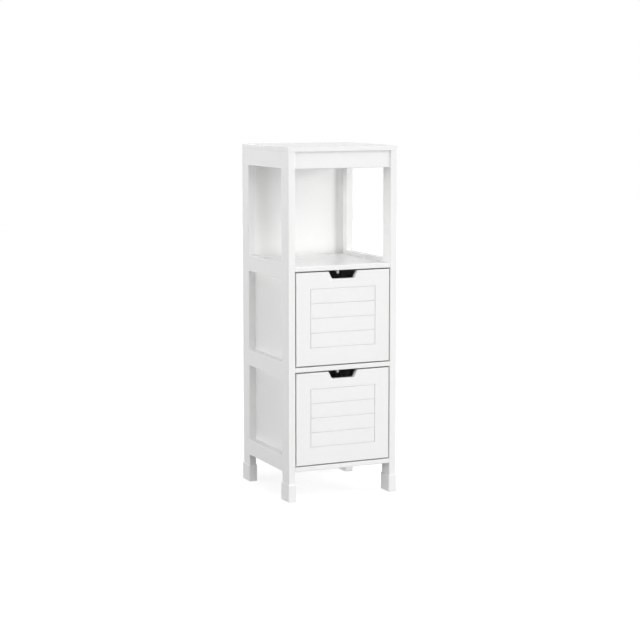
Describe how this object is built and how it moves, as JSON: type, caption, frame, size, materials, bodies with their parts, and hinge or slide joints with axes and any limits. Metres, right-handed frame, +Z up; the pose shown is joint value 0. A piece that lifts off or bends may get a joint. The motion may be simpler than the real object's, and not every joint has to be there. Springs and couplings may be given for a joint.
{
  "type": "bathroom cabinet",
  "caption": "Narrow free-standing bathroom cabinet with an open compartment above inset drawers, on post legs with foot sleeves, with recessed side panels.",
  "frame": {"origin": "centre of the footprint on the floor", "axes": "+Z up; the drawer fronts face -Y; +X is to the right of someone who faces +Y"},
  "size_m": [0.3046, 0.3046, 0.89],
  "materials": {
    "white_lacquer": "satin white lacquer on fibreboard",
    "white_sheet": "white faced hardboard, low sheen",
    "white_drawer_board": "white melamine faced board, low sheen",
    "sleeve_plastic": "moulded white plastic, fine sheen",
    "peg_plastic": "moulded white plastic",
    "beech": "fluted beech dowel, unfinished",
    "zinc_plated_steel": "bright zinc plating"
  },
  "bodies": {
    "cabinet": {"top_panel": "white_lacquer", "front_apron": "white_lacquer", "post_front_left": "white_lacquer", "post_front_right": "white_lacquer", "post_back_left": "white_lacquer", "post_back_right": "white_lacquer", "rail_top_left": "white_lacquer", "rail_top_right": "white_lacquer", "rail_shelf_left": "white_lacquer", "rail_shelf_right": "white_lacquer", "rail_middle_left": "white_lacquer", "rail_middle_right": "white_lacquer", "rail_bottom_left": "white_lacquer", "rail_bottom_right": "white_lacquer", "side_panel_upper_left": "white_sheet", "side_panel_upper_right": "white_sheet", "side_panel_lower_left": "white_sheet", "side_panel_lower_right": "white_sheet", "back_panel": "white_sheet", "shelf_board": "white_lacquer", "divider_board": "white_lacquer", "bottom_board": "white_lacquer", "foot_sleeve_front_left": "sleeve_plastic", "foot_sleeve_front_right": "sleeve_plastic", "foot_sleeve_back_left": "sleeve_plastic", "foot_sleeve_back_right": "sleeve_plastic", "frame_dowels": "beech", "board_dowels": "beech", "cam_bolts": "zinc_plated_steel", "cam_locks": "zinc_plated_steel", "panel_nails": "zinc_plated_steel", "drawer_stops": "peg_plastic", "drawer_stop_screws": "zinc_plated_steel"},
    "upper_drawer": {"upper_drawer_front": "white_lacquer", "upper_drawer_side_left": "white_drawer_board", "upper_drawer_side_right": "white_drawer_board", "upper_drawer_back": "white_drawer_board", "upper_drawer_bottom": "white_sheet", "upper_drawer_cam_bolts": "zinc_plated_steel", "upper_drawer_cam_locks": "zinc_plated_steel", "upper_drawer_screws": "zinc_plated_steel"},
    "lower_drawer": {"lower_drawer_front": "white_lacquer", "lower_drawer_side_left": "white_drawer_board", "lower_drawer_side_right": "white_drawer_board", "lower_drawer_back": "white_drawer_board", "lower_drawer_bottom": "white_sheet", "lower_drawer_cam_bolts": "zinc_plated_steel", "lower_drawer_cam_locks": "zinc_plated_steel", "lower_drawer_screws": "zinc_plated_steel"}
  },
  "joints": [
    {"name": "upper_drawer_slide", "type": "slide", "parent": "cabinet", "child": "upper_drawer", "axis": [0, -1, 0], "range_m": [0, 0.2205]},
    {"name": "lower_drawer_slide", "type": "slide", "parent": "cabinet", "child": "lower_drawer", "axis": [0, -1, 0], "range_m": [0, 0.2205]}
  ]
}
